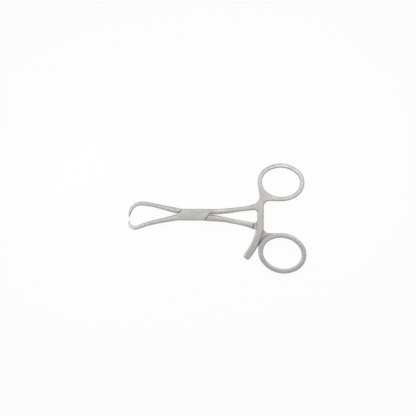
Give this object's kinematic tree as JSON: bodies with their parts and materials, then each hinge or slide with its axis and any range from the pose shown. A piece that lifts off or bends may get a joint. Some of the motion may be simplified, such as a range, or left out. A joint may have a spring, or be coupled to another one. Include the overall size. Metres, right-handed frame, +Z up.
{
  "type": "bone reduction forceps",
  "caption": "Bone reduction forceps with hooked pointed jaws, finger rings, a box lock on a pin and a curved ratchet bar that rides over catch teeth.",
  "frame": {"origin": "on the pivot pin's axis at the underside of the box lock, the face that the instrument lies on", "axes": "+X from the pivot towards the finger rings, +Y towards the finger ring of the ratchet arm, +Z up from the surface that the instrument lies on, along the pin"},
  "size_m": [0.13, 0.0804, 0.0064],
  "materials": {
    "satin_steel": "satin",
    "pin_steel": "ground flush"
  },
  "bodies": {
    "ratchet_body": {"ratchet_arm": "satin_steel", "pivot_pin": "pin_steel"},
    "catch_body": {"catch_arm": "satin_steel"}
  },
  "joints": [
    {"name": "box_lock", "type": "hinge", "parent": "ratchet_body", "child": "catch_body", "pos_m": [0, 0, 0.0032], "axis": [0, 0, -1], "range_deg": [-2.5, 40]}
  ]
}
